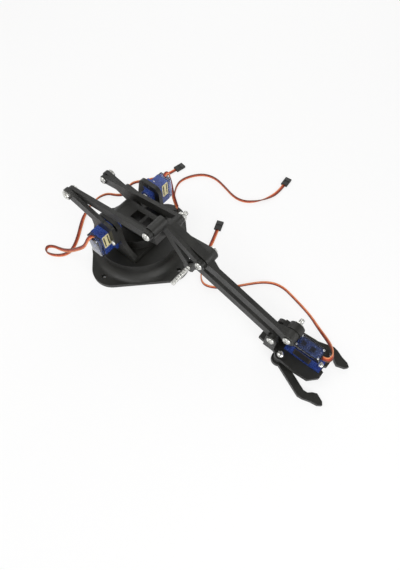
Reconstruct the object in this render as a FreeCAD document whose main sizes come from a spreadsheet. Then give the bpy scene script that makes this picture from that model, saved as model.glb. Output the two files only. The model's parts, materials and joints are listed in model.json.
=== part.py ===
"""Small printed robot arm: turntable, two parallel linkages, geared gripper and four micro servos.

Frame: +X is the reach of the arm, +Y its far side, +Z up. The origin is the centre of the base's underside.
Links are drawn along their own X axis from their first pivot and then placed at their resting angle.
"""
import FreeCAD, Part
import math
import os
import Sketcher
from FreeCAD import Placement, Rotation, Vector

DOC = FreeCAD.newDocument("robot_arm")

SIZES = {
    # Linkage, from the shoulder axis
    "shoulder_x": -2.0,
    "shoulder_z": 51.0,
    "arm_length": 88.0,
    "arm_angle": 9.0,
    "forearm_length": 87.0,
    "forearm_angle": -17.5,
    "lever_length": 36.0,
    "level_back": 36.5,
    "level_rise": 21.5,
    "rod_back": 11.0,
    "rod_drop": 14.0,
    # Micro servo
    "servo_length": 22.8,
    "servo_width": 12.2,
    "servo_height": 22.7,
    "cover_height": 4.2,
    "lid_height": 4.3,
    "ear_span": 32.2,
    "ear_thick": 2.5,
    "ear_height": 15.9,
    "ear_inset": 2.2,
    "axis_inset": 6.1,
    "tower_radius": 5.9,
    "tower_rise": 4.0,
    "bump_radius": 2.9,
    "spline_radius": 2.4,
    "spline_rise": 3.0,
    "spline_depth": 3.0,
    "horn_arm": 15.0,
    "horn_thick": 1.6,
    "horn_hub": 3.6,
    "horn_tip": 2.2,
    "horn_cap": 1.3,
    # Fits and fasteners
    "running": 0.05,
    "gap": 0.3,
    "fit": 0.15,
    "over": 1.0,
    "bolt_radius": 2.0,
    "head_radius": 3.4,
    "head_height": 2.2,
    "nut_radius": 4.0,
    "nut_height": 2.4,
    "bolt_tail": 1.0,
    "rear_tail": 4.0,
    "wrist_tail": 5.0,
    "yoke_tail": 0.6,
    "tapper_radius": 1.0,
    "tapper_head": 2.0,
    "tapper_rise": 1.4,
    "tapper_length": 6.0,
    # Base
    "flange_thick": 4.0,
    "lobe_radius": 20.0,
    "lobe_offset": 36.0,
    "rim_radius": 38.3,
    "rim_top": 20.4,
    "flare_radius": 8.0,
    "base_wall": 4.0,
    "deck_thick": 7.4,
    "mount_circle": 98.0,
    "mount_hole": 2.1,
    "base_servo_z": 0.6,
    "notch_width": 9.0,
    "notch_height": 6.0,
    # Turntable
    "floor_thick": 4.0,
    "floor_back": 23.0,
    "floor_front": 22.0,
    "side_wall": 4.0,
    "side_inner": 22.6,
    "side_top": 62.8,
    "side_back": 12.0,
    "side_front": 12.0,
    "side_corner": 6.0,
    "arch_radius": 20.0,
    "arch_height": 46.0,
    "hub_radius": 21.5,
    "hub_wall": 2.9,
    "hub_roof": 3.0,
    # Links
    "link_thick": 3.5,
    "link_radius": 4.0,
    "rod_thick": 3.0,
    "rod_inset": 1.5,
    "plate_thick": 3.3,
    "plate_radius": 5.0,
    "strut_radius": 3.2,
    "arm_hub": 9.5,
    "arm_tip": 6.0,
    "arm_wide": 42.0,
    "arm_wide_width": 16.5,
    "tongue_width": 4.7,
    "tongue_root": 10.0,
    "arm_pocket": 10.0,
    "arm_rib": 3.0,
    "boss_radius": 6.0,
    "stub_radius": 3.0,
    "stub_length": 5.4,
    "lever_hub": 7.5,
    "lever_tip": 5.0,
    "lever_thick": 4.0,
    "fore_width": 7.5,
    "fore_radius": 6.0,
    "fore_rear": 6.5,
    "blade_half": 4.0,
    "blade_thick": 3.8,
    "blade_inset": 0.6,
    "hub_lead": 4.0,
    "hub_run": 9.0,
    "spacer_radius": 4.5,
    "bracket_arm": 5.0,
    "bracket_width": 24.0,
    "bracket_rise": 8.4,
    "bracket_corner": 4.0,
    "bracket_leg": 11.7,
    "bracket_screw": 1.25,
    "bracket_head": 2.7,
    "bracket_head_rise": 1.8,
    "long_bolt": 27.8,
    # Gripper
    "claw_ahead": 21.3,
    "claw_drop": 7.1,
    "claw_thick": 4.0,
    "tail_back": 21.9,
    "tail_half": 10.0,
    "waist_back": 10.0,
    "waist_half": 11.0,
    "cheek_ahead": 3.0,
    "cheek_half": 16.0,
    "claw_half": 17.0,
    "claw_half_back": 5.0,
    "cheek_front": 1.0,
    "nose_ahead": 7.5,
    "nose_half": 9.0,
    "cleft_depth": 2.0,
    "cleft_half": 3.0,
    "cleft_taper": 1.0,
    "lug_width": 6.7,
    "lug_radius": 6.5,
    "neck_width": 8.4,
    "neck_back": 1.4,
    "pivot_boss": 4.5,
    "gear_module": 1.0,
    "gear_teeth": 24.0,
    "gear_thick": 4.0,
    "pressure_angle": 20.0,
    "tooth_addendum": 0.85,
    "tooth_dedendum": 1.15,
    "tooth_share": 0.4,
    "pinion_drop": 1.2,
    "gear_hub": 6.0,
    "finger_half": 3.4,
    "finger_reach": 33.0,
    "hook_reach": 15.0,
    "hook_rise": 11.4,
    "near_finger_angle": -23.5,
    "far_finger_angle": 18.0,
    "pivot_bolt": 1.5,
    "pivot_head": 3.0,
    "pivot_nut": 2.75,
    # Leads
    "lead_radius": 1.0,
    "plug_length": 11.0,
    "plug_width": 7.0,
    "plug_thick": 2.6,
}

# Places that follow from the sizes
PLACES = {
    "elbow_x": "shoulder_x + arm_length * cos(arm_angle)",
    "elbow_z": "shoulder_z + arm_length * sin(arm_angle)",
    "wrist_x": "elbow_x + forearm_length * cos(forearm_angle)",
    "wrist_z": "elbow_z + forearm_length * sin(forearm_angle)",
    "lever_x": "shoulder_x - lever_length * cos(forearm_angle)",
    "lever_z": "shoulder_z - lever_length * sin(forearm_angle)",
    "rear_x": "elbow_x - lever_length * cos(forearm_angle)",
    "rear_z": "elbow_z - lever_length * sin(forearm_angle)",
    "anchor_x": "shoulder_x - level_back",
    "anchor_z": "shoulder_z + level_rise",
    "apex_x": "elbow_x - level_back",
    "apex_z": "elbow_z + level_rise",
    "rod_x": "elbow_x - rod_back",
    "rod_z": "elbow_z - rod_drop",
    "yoke_x": "wrist_x - rod_back",
    "yoke_z": "wrist_z - rod_drop",
    "ear_top": "ear_height + ear_thick",
    "tower_top": "servo_height + tower_rise",
    "spline_top": "tower_top + spline_rise",
    "horn_face": "spline_top + horn_cap",
    "horn_back": "horn_face - horn_thick",
    "servo_back": "side_inner + side_wall + ear_top",
    "floor_low": "rim_top + gap",
    "floor_high": "floor_low + floor_thick",
    "deck_low": "rim_top - deck_thick",
    "hub_ceiling": "base_servo_z + horn_face",
    "side_outer": "side_inner + side_wall",
    "bracket_low": "shoulder_z + axis_inset + fit",
    "leg_end": "bracket_low - bracket_leg",
    "leg_half": "(bracket_width - servo_width) / 4 - fit / 2",
    "leg_offset": "bracket_width / 2 - leg_half",
    "lobe_side": "lobe_offset / sqrt(2)",
    # Layers across the arm, from the near side to the far side
    "bracket_near": "-side_outer - ear_thick - link_thick",
    "bracket_far": "bracket_near + link_thick",
    "level_near": "bracket_far + gap",
    "level_far": "level_near + link_thick",
    "arm_near": "-servo_back + horn_face",
    "arm_far": "arm_near + arm_wide_width",
    "tongue_near": "arm_far - tongue_width",
    "fore_far": "tongue_near - gap",
    "fore_near": "fore_far - fore_width",
    "blade_near": "fore_near + blade_inset",
    "blade_far": "blade_near + blade_thick",
    "plate_far": "fore_near - gap",
    "plate_near": "plate_far - plate_thick",
    "drive_near": "arm_far + gap",
    "drive_far": "drive_near + link_thick",
    "lever_near": "drive_far + gap",
    "lever_far": "lever_near + lever_thick",
    "rod_near": "fore_near + rod_inset",
    "rod_far": "rod_near + rod_thick",
    "lug_near": "fore_far + gap",
    "lug_far": "lug_near + lug_width",
    "yoke_far": "rod_near - gap",
    "yoke_near": "yoke_far - plate_thick",
    # Gripper levels and gears
    "pitch_radius": "gear_module * gear_teeth / 2",
    "tip_radius": "pitch_radius + gear_module * tooth_addendum",
    "root_radius": "pitch_radius - gear_module * tooth_dedendum",
    "tooth_half": "pi * gear_module * tooth_share / 2",
    "claw_servo_x": "wrist_x + claw_ahead",
    "claw_servo_z": "wrist_z - claw_drop",
    "claw_front": "claw_servo_x + axis_inset",
    "claw_high": "claw_servo_z - ear_top",
    "claw_low": "claw_high - claw_thick",
    "pivot_x": "claw_servo_x - pitch_radius * sqrt(3)",
    "finger_floor": "claw_servo_z - spline_top - pinion_drop",
    "finger_high": "finger_floor + gear_thick",
}


def fill_sheets():
    """Write the driving sizes as plain numbers, and the places that follow from them as formulas."""
    sizes = DOC.addObject("Spreadsheet::Sheet", "Sizes")
    places = DOC.addObject("Spreadsheet::Sheet", "Places")
    for row, (alias, size) in enumerate(SIZES.items(), start=1):
        sizes.set(f"A{row}", alias)
        sizes.set(f"B{row}", str(size))
        sizes.setAlias(f"B{row}", alias)
    DOC.recompute()
    for row, (alias, formula) in enumerate(PLACES.items(), start=1):
        places.set(f"A{row}", alias)
        places.set(f"B{row}", "=" + bound(formula))
        places.setAlias(f"B{row}", alias)
    DOC.recompute()
    return sizes, places


def bound(formula):
    """Turn a formula in plain aliases into one that names the sheet of each alias."""
    words = []
    word = ""
    for letter in str(formula) + " ":
        if letter.isalnum() or letter == "_":
            word += letter
            continue
        if word in SIZES:
            word = "Sizes." + word
        elif word in PLACES:
            word = "Places." + word
        words.append(word + letter)
        word = ""
    return "".join(words).strip()


SIZE_SHEET, PLACE_SHEET = fill_sheets()
NODES = []


def value(alias):
    """Read one alias from the sheets as a number."""
    sheet = SIZE_SHEET if alias in SIZES else PLACE_SHEET
    return float(sheet.get(alias))


def bind(item, **formulas):
    """Bind properties of an object to formulas."""
    for name, formula in formulas.items():
        item.setExpression(name, bound(formula))
    return item


def move(item, x="0", y="0", z="0"):
    """Bind the place of an object."""
    for axis, formula in (("x", x), ("y", y), ("z", z)):
        item.setExpression("Placement.Base." + axis, bound(formula))
    return item


def turn(item, angle):
    """Pitch an object up by an angle, about its own origin."""
    item.Placement = Placement(Vector(), Rotation(Vector(0, 1, 0), 1))
    item.setExpression("Placement.Rotation.Angle", bound(f"-({angle})"))
    return item


def spin(item, angle):
    """Turn an object about the vertical, about its own origin."""
    item.Placement = Placement(Vector(), Rotation(Vector(0, 0, 1), 1))
    item.setExpression("Placement.Rotation.Angle", bound(angle))
    return item


AXES = {
    "y": Rotation(Vector(1, 0, 0), -90),
    "z": Rotation(),
}
# How a tapered piece lies: along X with its width in Z, along X with its width in Y, or along Z
UPRIGHT = Rotation(Vector(1, 1, 1), -120)
LEVEL = Rotation(Vector(0, 0, 1), -90)
STANDING = Rotation(Vector(1, 0, 0), 90)


def rod(radius, start, end, x="0", y="0", z="0", axis="y"):
    """A cylinder along one axis, from start to end on that axis."""
    item = DOC.addObject("Part::Cylinder", "Rod")
    item.Placement = Placement(Vector(), AXES[axis])
    bind(item, Radius=radius, Height=f"({end}) - ({start})")
    where = {"x": x, "y": y, "z": z}
    where[axis] = start
    return move(item, **where)


def box(x, y, z):
    """A box between pairs of limits."""
    item = DOC.addObject("Part::Box", "Block")
    for side, (low, high) in (("Length", x), ("Width", y), ("Height", z)):
        item.setExpression(side, bound(f"({high}) - ({low})"))
    return move(item, x[0], y[0], z[0])


def wedge(first, last, along, thick, lie):
    """A flat piece whose limits across go from the first pair to the last pair along its length."""
    item = DOC.addObject("Part::Wedge", "Taper")
    item.Placement = Placement(Vector(), lie)
    bind(item, Xmin=first[0], Xmax=first[1], X2min=last[0], X2max=last[1])
    bind(item, Ymin=along[0], Ymax=along[1])
    return bind(item, Zmin=thick[0], Z2min=thick[0], Zmax=thick[1], Z2max=thick[1])


def taper(start, end, half_start, half_end, near, far, lie=UPRIGHT):
    """A flat bar along X whose half width changes from one end to the other."""
    first = (f"-({half_start})", half_start)
    last = (f"-({half_end})", half_end)
    return wedge(first, last, (start, end), (near, far), lie)


def fuse(*items):
    """One solid of several that touch."""
    item = DOC.addObject("Part::MultiFuse", "Union")
    item.Shapes = list(items)
    item.Refine = True
    return item


def cut(base, *tools):
    """A solid with other solids taken out of it."""
    item = DOC.addObject("Part::Cut", "Remainder")
    item.Base = base
    item.Tool = tools[0] if len(tools) == 1 else fuse(*tools)
    item.Refine = True
    return item


def group(*items):
    """Separate solids that belong to one node."""
    item = DOC.addObject("Part::Compound", "Group")
    item.Links = list(items)
    return item


def node(item, name):
    """Name a finished sub-part."""
    item.Label = name
    NODES.append(item)
    return item


def bar(length, start_radius, end_radius, near, far, start="0"):
    """A flat link with round ends, along X."""
    return fuse(
        rod(start_radius, near, far, x=start),
        rod(end_radius, near, far, x=length),
        taper(start, length, start_radius, end_radius, near, far),
    )


def strut(x, z, radius, near, far):
    """A flat link with round ends, from the origin to a point in the XZ plane."""
    item = bar(f"hypot({x}; {z})", radius, radius, near, far)
    return turn(item, f"atan2({z}; {x})")


def crown(back, front, top, corner, near, far):
    """The pieces of an upright plate's top edge with two rounded corners."""
    left = f"{back} + {corner}"
    right = f"{front} - {corner}"
    level = f"{top} - {corner}"
    return [
        rod(corner, near, far, x=left, z=level),
        rod(corner, near, far, x=right, z=level),
        box((left, right), (near, far), (f"{level} - over", top)),
    ]


BORE = "bolt_radius + running"


def bolt(head_side, head_at, tip_at, x, z):
    """A pan head bolt across the arm: head_side is -1 where its head is on the near side."""
    if head_side > 0:
        head = rod("head_radius", head_at, f"({head_at}) + head_height", x=x, z=z)
        shank = rod("bolt_radius", tip_at, head_at, x=x, z=z)
    else:
        head = rod("head_radius", f"({head_at}) - head_height", head_at, x=x, z=z)
        shank = rod("bolt_radius", head_at, tip_at, x=x, z=z)
    return fuse(head, shank)


def nut(start, x, z):
    """A hexagon nut across the arm, growing towards the far side."""
    blank = DOC.addObject("Part::Prism", "Hexagon")
    blank.Polygon = 6
    blank.Placement = Placement(Vector(), AXES["y"])
    bind(blank, Circumradius="nut_radius", Height="nut_height")
    move(blank, x, start, z)
    return cut(blank, rod(BORE, f"({start}) - over", f"({start}) + nut_height + over", x=x, z=z))


# Micro servo

SERVO_TURN = {
    "base": Rotation(),
    "shoulder": Rotation(Vector(0, 0, -1), Vector(-1, 0, 0), Vector(0, 1, 0), "ZXY"),
    "elbow": Rotation(Vector(0, 0, -1), Vector(1, 0, 0), Vector(0, -1, 0), "ZXY"),
    "gripper": Rotation(Vector(-1, 0, 0), Vector(0, 1, 0), Vector(0, 0, -1), "ZXY"),
}
SERVO_AT = {
    "base": ("0", "0", "base_servo_z"),
    "shoulder": ("shoulder_x", "-servo_back", "shoulder_z"),
    "elbow": ("shoulder_x", "servo_back", "shoulder_z"),
    "gripper": ("claw_servo_x", "0", "claw_servo_z"),
}
CABLE_END = "-axis_inset"
BLIND_END = "servo_length - axis_inset"
EAR_HOLES = (
    "servo_length / 2 - axis_inset - ear_span / 2 + ear_inset",
    "servo_length / 2 - axis_inset + ear_span / 2 - ear_inset",
)


def seat(item, servo):
    """Put a solid drawn in the servo's own frame where that servo is."""
    item.Placement = Placement(Vector(), SERVO_TURN[servo])
    return move(item, *SERVO_AT[servo])


def servo_block(low, high):
    """A slice of the servo's rectangular case, drawn from its underside up."""
    half = ("-servo_width / 2", "servo_width / 2")
    return box((CABLE_END, BLIND_END), half, (low, high))


def servo(name):
    """The three shells, the output shaft and the horn of one servo."""
    node(seat(group(servo_block("0", "cover_height")), name), name + "_servo_cover")

    overhang = "(ear_span - servo_length) / 2"
    ear_x = (f"{CABLE_END} - {overhang}", f"{BLIND_END} + {overhang}")
    ears = box(ear_x, ("-servo_width / 2", "servo_width / 2"), ("ear_height", "ear_top"))
    holes = [rod("tapper_radius + fit", "ear_height - over", "ear_top + over", x=x, axis="z")
             for x in EAR_HOLES]
    body = fuse(servo_block("cover_height", "servo_height - lid_height"), ears)
    node(seat(cut(body, *holes), name), name + "_servo_case")

    lid = fuse(
        servo_block("servo_height - lid_height", "servo_height"),
        rod("tower_radius", "servo_height - over", "tower_top", axis="z"),
        rod("bump_radius", "servo_height - over", "tower_top", x="tower_radius", axis="z"),
    )
    well = rod("spline_radius + running", "tower_top - spline_depth - gap", "tower_top + over", axis="z")
    node(seat(cut(lid, well), name), name + "_servo_lid")

    shaft = rod("spline_radius", "tower_top - spline_depth", "spline_top", axis="z")
    node(seat(group(shaft), name), name + "_servo_shaft")


def horn(name, angle, arms=1):
    """A horn on a servo's shaft, its first arm turned by an angle about the shaft."""
    solids = [rod("horn_hub", "tower_top + gap", "horn_face", axis="z")]
    for index in range(arms):
        arm = fuse(
            taper("0", "horn_arm", "horn_hub", "horn_tip", "horn_back", "horn_face", LEVEL),
            rod("horn_tip", "horn_back", "horn_face", x="horn_arm", axis="z"),
        )
        solids.append(spin(arm, f"{angle} + 360 * {index} / {arms}"))
    solid = cut(fuse(*solids), rod("spline_radius", "tower_top - over", "spline_top", axis="z"))
    node(seat(solid, name), name + "_servo_horn")


def servo_screws(name, holes=EAR_HOLES):
    """Self tapping screws through a servo's ears from its underside."""
    screws = []
    for x in holes:
        head = rod("tapper_head", "ear_height - tapper_rise", "ear_height", x=x, axis="z")
        shank = rod("tapper_radius", "ear_height", "ear_height + tapper_length", x=x, axis="z")
        screws.append(fuse(head, shank))
    node(seat(group(*screws), name), name + "_servo_screws")


def base_screws():
    """Self tapping screws down through the ears of the servo that sits in the base."""
    screws = []
    for x in EAR_HOLES:
        head = rod("tapper_head", "ear_top", "ear_top + tapper_rise", x=x, axis="z")
        shank = rod("tapper_radius", "ear_top - tapper_length", "ear_top", x=x, axis="z")
        screws.append(fuse(head, shank))
    node(seat(group(*screws), "base"), "base_servo_screws")


# Base

def base():
    """Lobed flange with a flared riser, a deck and an opening for the servo that turns the arm."""
    flange = []
    holes = []
    for quarter in range(4):
        along = round(math.cos(quarter * math.pi / 2))
        across = round(math.sin(quarter * math.pi / 2))
        flange.append(rod("lobe_radius", "0", "flange_thick", x=f"{along} * lobe_offset",
                          y=f"{across} * lobe_offset", axis="z"))
        holes.append(rod("mount_hole", "-over", "flange_thick + over", x=f"{along} * mount_circle / 2",
                         y=f"{across} * mount_circle / 2", axis="z"))
    for angle in ("-45", "45"):
        web = box(("-lobe_side", "lobe_side"), ("-lobe_side - lobe_radius", "lobe_side + lobe_radius"),
                  ("0", "flange_thick"))
        flange.append(spin(group(web), angle))
    flare = DOC.addObject("Part::Torus", "Flare")
    bind(flare, Radius1="rim_radius + flare_radius", Radius2="flare_radius")
    move(flare, z="flange_thick + flare_radius")
    skirt = rod("rim_radius + flare_radius", "flange_thick", "flange_thick + flare_radius", axis="z")
    body = fuse(*flange, cut(skirt, flare), rod("rim_radius", "0", "rim_top", axis="z"))
    width = ("-servo_width / 2 - fit", "servo_width / 2 + fit")
    case = box((f"{CABLE_END} - fit", f"{BLIND_END} + fit"), width, ("deck_low - over", "rim_top + over"))
    overhang = "((ear_span - servo_length) / 2 + fit)"
    ears = box((f"{CABLE_END} - {overhang}", f"{BLIND_END} + {overhang}"), width,
               ("base_servo_z + ear_height", "rim_top + over"))
    hollow = rod("rim_radius - base_wall", "-over", "deck_low", axis="z")
    notch = box(("-lobe_offset - lobe_radius", "0"), ("-notch_width / 2", "notch_width / 2"),
                ("flange_thick", "flange_thick + notch_height"))
    screws = [rod("tapper_radius + fit", "deck_low - over", "rim_top", x=x, axis="z") for x in EAR_HOLES]
    node(cut(body, case, ears, hollow, notch, *holes, *screws), "base")


# Turntable

def side_wall(near, far):
    """One upright of the turntable: leaning back, arched in front, rounded on top."""
    front = "shoulder_x + side_front"
    back = "shoulder_x - side_back"
    upright = wedge(("-floor_back", front), (back, front), ("floor_low", "side_top - side_corner"),
                    (f"-({far})", f"-({near})"), STANDING)
    foot = box((f"{front} - over", "floor_front"), (near, far), ("floor_low", "arch_height"))
    arch = rod("arch_radius", f"{near} - over", f"{far} + over", x=f"{front} + arch_radius", z="arch_height")
    return fuse(upright, *crown(back, front, "side_top", "side_corner", near, far), cut(foot, arch))


LEG_CENTRES = ("shoulder_x - leg_offset", "shoulder_x + leg_offset")


def turntable():
    """Floor, hub over the turning servo's horn and the two uprights that hold the arm's servos."""
    floor = box(("-floor_back", "floor_front"), ("-side_outer", "side_outer"), ("floor_low", "floor_high"))
    hub = rod("hub_radius", "floor_low", "hub_ceiling + hub_roof", axis="z")
    near = side_wall("-side_outer", "-side_inner")
    far = side_wall("side_inner", "side_outer")
    well = rod("hub_radius - hub_wall", "floor_low - over", "hub_ceiling", axis="z")
    window = box(
        ("shoulder_x - servo_width / 2 - fit", "shoulder_x + servo_width / 2 + fit"),
        ("-side_outer - over", "side_outer + over"),
        (f"shoulder_z - ({BLIND_END}) - fit", "shoulder_z + axis_inset + fit"),
    )
    screws = [rod("tapper_radius + fit", "-side_outer - over", "side_outer + over", x="shoulder_x",
                  z=f"shoulder_z - ({x})") for x in EAR_HOLES]
    bracket = [rod("bracket_screw + fit", "-side_outer - over", "-side_inner + over", x=x, z="leg_end")
               for x in LEG_CENTRES]
    node(cut(fuse(floor, hub, near, far), well, window, *screws, *bracket), "turntable")


def level_bracket():
    """Clamp over the near servo's upper ear: two legs on the upright, and an arm back to the level link."""
    limits = ("bracket_near", "bracket_far")
    legs_across = ("bracket_near", "-side_outer")
    back = "shoulder_x - bracket_width / 2"
    front = "shoulder_x + bracket_width / 2"
    top = "bracket_low + bracket_rise"
    solids = crown(back, front, top, "bracket_corner", *limits)
    solids.append(box((back, front), limits, ("bracket_low", f"{top} - bracket_corner")))
    holes = [rod(BORE, "bracket_near - over", "bracket_far + over", x="anchor_x", z="anchor_z")]
    for x in LEG_CENTRES:
        solids.append(rod("leg_half", *legs_across, x=x, z="leg_end"))
        solids.append(box((f"{x} - leg_half", f"{x} + leg_half"), legs_across,
                          ("leg_end", "bracket_low + over")))
        holes.append(rod("bracket_screw + fit", "bracket_near - over", "-side_inner", x=x, z="leg_end"))
    reach = strut("-level_back", "level_rise - axis_inset - bracket_arm", "bracket_arm", *limits)
    solids.append(move(group(reach), "shoulder_x", "0", "shoulder_z + axis_inset + bracket_arm"))
    node(cut(fuse(*solids), *holes), "level_bracket")


def bracket_screws():
    """Pan head screws through the bracket's legs into the near upright."""
    screws = []
    for x in LEG_CENTRES:
        head = rod("bracket_head", "bracket_near - bracket_head_rise", "bracket_near", x=x, z="leg_end")
        shank = rod("bracket_screw", "bracket_near", "-side_inner", x=x, z="leg_end")
        screws.append(fuse(head, shank))
    node(group(*screws), "bracket_screws")


# Linkage

def main_arm():
    """Upper arm: a ribbed wide part at the shoulder and a single tongue to the elbow."""
    wide = taper("0", "arm_wide", "arm_hub", "arm_tip", "arm_near", "arm_far")
    knuckle = rod("arm_hub", "arm_near", "arm_far")
    tongue = bar("arm_length", "arm_tip", "arm_tip", "tongue_near", "arm_far", start="arm_wide - tongue_root")
    boss = rod("boss_radius", "arm_far", "lever_near - gap")
    stub = rod("stub_radius", "arm_far", "lever_near + stub_length")
    depth = ("arm_near + arm_rib", "tongue_near")
    height = ("-2 * arm_hub", "2 * arm_hub")
    first = box(("arm_hub + arm_rib", "arm_hub + arm_rib + arm_pocket"), depth, height)
    second = box(("arm_hub + 2 * arm_rib + arm_pocket", "arm_wide - arm_rib"), depth, height)
    pivot = rod(BORE, "tongue_near - over", "arm_far + over", x="arm_length")
    arm = cut(fuse(wide, knuckle, tongue, boss, stub), first, second, pivot)
    turn(arm, "arm_angle")
    node(move(arm, "shoulder_x", "0", "shoulder_z"), "main_arm")


def drive_lever():
    """Lever on the far servo, parallel to the forearm's rear end."""
    lever = bar("lever_length", "lever_hub", "lever_tip", "lever_near", "lever_far")
    hub = bar("horn_arm", "lever_hub", "lever_tip", "lever_near", "servo_back - horn_face")
    well = rod("stub_radius + running", "lever_near - over", "lever_near + stub_length + gap")
    pivot = rod(BORE, "lever_near - over", "lever_far + over", x="lever_length")
    solid = cut(fuse(lever, hub), well, pivot)
    turn(solid, "forearm_angle + 180")
    node(move(solid, "shoulder_x", "0", "shoulder_z"), "drive_lever")


def plain_link(name, length, angle, near, far, radius, x, z):
    """A straight link with a bore in each round end."""
    blank = bar(length, radius, radius, near, far)
    bores = [rod(BORE, f"{near} - over", f"{far} + over", x=at) for at in ("0", length)]
    link = cut(blank, *bores)
    turn(link, angle)
    node(move(link, x, "0", z), name)


def triangle_link():
    """Three sided link on the elbow that hands the level from the level link to the level rod."""
    limits = ("plate_near", "plate_far")
    rear = strut("-level_back", "level_rise", "strut_radius", *limits)
    lower = strut("-rod_back", "-rod_drop", "strut_radius", *limits)
    third = group(strut("rod_back - level_back", "level_rise + rod_drop", "strut_radius", *limits))
    move(third, "-rod_back", "0", "-rod_drop")
    eyes = [
        rod("plate_radius", *limits),
        rod("plate_radius", "level_far + gap", "plate_far", x="-level_back", z="level_rise"),
        rod("plate_radius", "plate_near", "rod_near - gap", x="-rod_back", z="-rod_drop"),
    ]
    bores = [
        rod(BORE, "plate_near - over", "plate_far + over"),
        rod(BORE, "level_near", "plate_far + over", x="-level_back", z="level_rise"),
        rod(BORE, "plate_near - over", "rod_near", x="-rod_back", z="-rod_drop"),
    ]
    link = cut(fuse(rear, lower, third, *eyes), *bores)
    node(move(link, "elbow_x", "0", "elbow_z"), "triangle_link")


def forearm():
    """Forearm that runs on behind the elbow to the drive link: wide hubs, and a flat blade in front."""
    limits = ("fore_near", "fore_far")
    wide = ("-fore_far", "-fore_near")
    narrow = ("-blade_far", "-blade_near")
    height = ("-blade_half", "blade_half")
    ends = [
        rod("fore_rear", *limits, x="-lever_length"),
        rod("fore_rear", *limits),
        rod("fore_radius", *limits, x="forearm_length"),
    ]
    rear = taper("-lever_length", "0", "fore_rear", "fore_rear", *limits)
    blade = taper("0", "forearm_length", "blade_half", "blade_half", "blade_near", "blade_far")
    behind = ("hub_lead", "hub_lead + hub_run")
    ahead = ("forearm_length - hub_lead - hub_run", "forearm_length - hub_lead")
    slopes = [
        wedge(wide, narrow, behind, height, LEVEL),
        wedge(narrow, wide, ahead, height, LEVEL),
    ]
    spacer = rod("spacer_radius", "fore_far", "drive_near - gap", x="-lever_length")
    sink = rod("head_radius + gap", "fore_near - over", "fore_near + head_height", x="-lever_length")
    bores = [rod(BORE, "fore_near - over", "drive_near", x=x)
             for x in ("-lever_length", "0", "forearm_length")]
    solid = cut(fuse(rear, blade, spacer, *slopes, *ends), sink, *bores)
    turn(solid, "forearm_angle")
    node(move(solid, "elbow_x", "0", "elbow_z"), "forearm")


def pivots():
    """Bolts and nuts of the linkage, each with the piece that it is tightened in."""
    anchor = bolt(1, "level_far + gap", "bracket_near - nut_height - bolt_tail", "anchor_x", "anchor_z")
    anchor_nut = nut("bracket_near - nut_height", "anchor_x", "anchor_z")
    node(group(anchor, anchor_nut), "level_anchor_bolt")
    node(bolt(-1, "level_near - gap", "plate_far", "apex_x", "apex_z"), "triangle_bolt")
    lever_end = bolt(-1, "drive_near - gap", "lever_far + gap + nut_height + bolt_tail", "lever_x", "lever_z")
    node(group(lever_end, nut("lever_far + gap", "lever_x", "lever_z")), "lever_bolt")
    rear = bolt(-1, "fore_near + head_height", "drive_far + gap + nut_height + rear_tail", "rear_x", "rear_z")
    node(group(rear, nut("drive_far + gap", "rear_x", "rear_z")), "forearm_bolt")
    elbow = bolt(-1, "plate_near - gap", "arm_far + nut_height + bolt_tail", "elbow_x", "elbow_z")
    node(group(elbow, nut("arm_far", "elbow_x", "elbow_z")), "elbow_bolt")
    node(bolt(1, "rod_far + gap", "rod_far + gap - long_bolt", "rod_x", "rod_z"), "level_rod_bolt")
    wrist = bolt(-1, "fore_near - gap", "lug_far + nut_height + wrist_tail", "wrist_x", "wrist_z")
    node(group(wrist, nut("lug_far", "wrist_x", "wrist_z")), "wrist_bolt")
    yoke = bolt(-1, "yoke_near", "rod_far + gap + nut_height + yoke_tail", "yoke_x", "yoke_z")
    node(group(yoke, nut("rod_far + gap", "yoke_x", "yoke_z")), "yoke_bolt")


# Gripper

CLAW_OUTLINE = (
    ("wrist_x - tail_back", "tail_half"),
    ("pivot_x - waist_back", "waist_half"),
    ("pivot_x + cheek_ahead", "cheek_half"),
    ("claw_servo_x - claw_half_back", "claw_half"),
    ("claw_front + cheek_front", "cheek_half"),
    ("claw_front + nose_ahead", "nose_half"),
    ("claw_front + nose_ahead", "cleft_half"),
    ("claw_front + nose_ahead - cleft_depth", "cleft_half - cleft_taper"),
)
# The hooked end of a finger as shares of its reach and of its rise, from the outer edge to the inner
HOOK = (
    (0.0, -0.28),
    (0.23, -0.1),
    (0.55, 0.28),
    (0.87, 0.56),
    (1.0, 0.84),
    (0.83, 0.98),
    (0.37, 1.0),
    (0.2, 0.74),
    (0.1, 0.44),
    (-0.1, 0.29),
)
# From the near finger's axis to the pinion's, whose distances across are one and two pitch radii
MESH_ANGLE = "30"
NEAR_TEETH = 8
FAR_TEETH = 5
PINION_TEETH = 3


def outline_body(points, height):
    """A pad on a closed outline of straight sides, every corner bound to the sheets."""
    body = DOC.addObject("PartDesign::Body", "Outline")
    sketch = body.newObject("Sketcher::SketchObject", "Profile")
    plane = [item for item in body.Origin.OriginFeatures if item.Role == "XY_Plane"][0]
    sketch.AttachmentSupport = [(plane, "")]
    sketch.MapMode = "FlatFace"
    corners = [Vector(number(x), number(y), 0) for x, y in points]
    count = len(corners)
    for index in range(count):
        sketch.addGeometry(Part.LineSegment(corners[index], corners[(index + 1) % count]), False)
    for index in range(count):
        sketch.addConstraint(Sketcher.Constraint("Coincident", index, 2, (index + 1) % count, 1))
    for index, (x, y) in enumerate(points):
        for kind, formula in (("DistanceX", x), ("DistanceY", y)):
            spot = sketch.addConstraint(Sketcher.Constraint(kind, -1, 1, index, 1, number(formula)))
            sketch.setExpression(f"Constraints[{spot}]", bound(formula))
    pad = body.newObject("PartDesign::Pad", "Plate")
    pad.Profile = sketch
    pad.setExpression("Length", bound(height))
    body.Tip = pad
    return body


def number(formula):
    """Work out a formula on the sheets as a plain number."""
    return float(SIZE_SHEET.evalExpression(bound(formula)))


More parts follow.
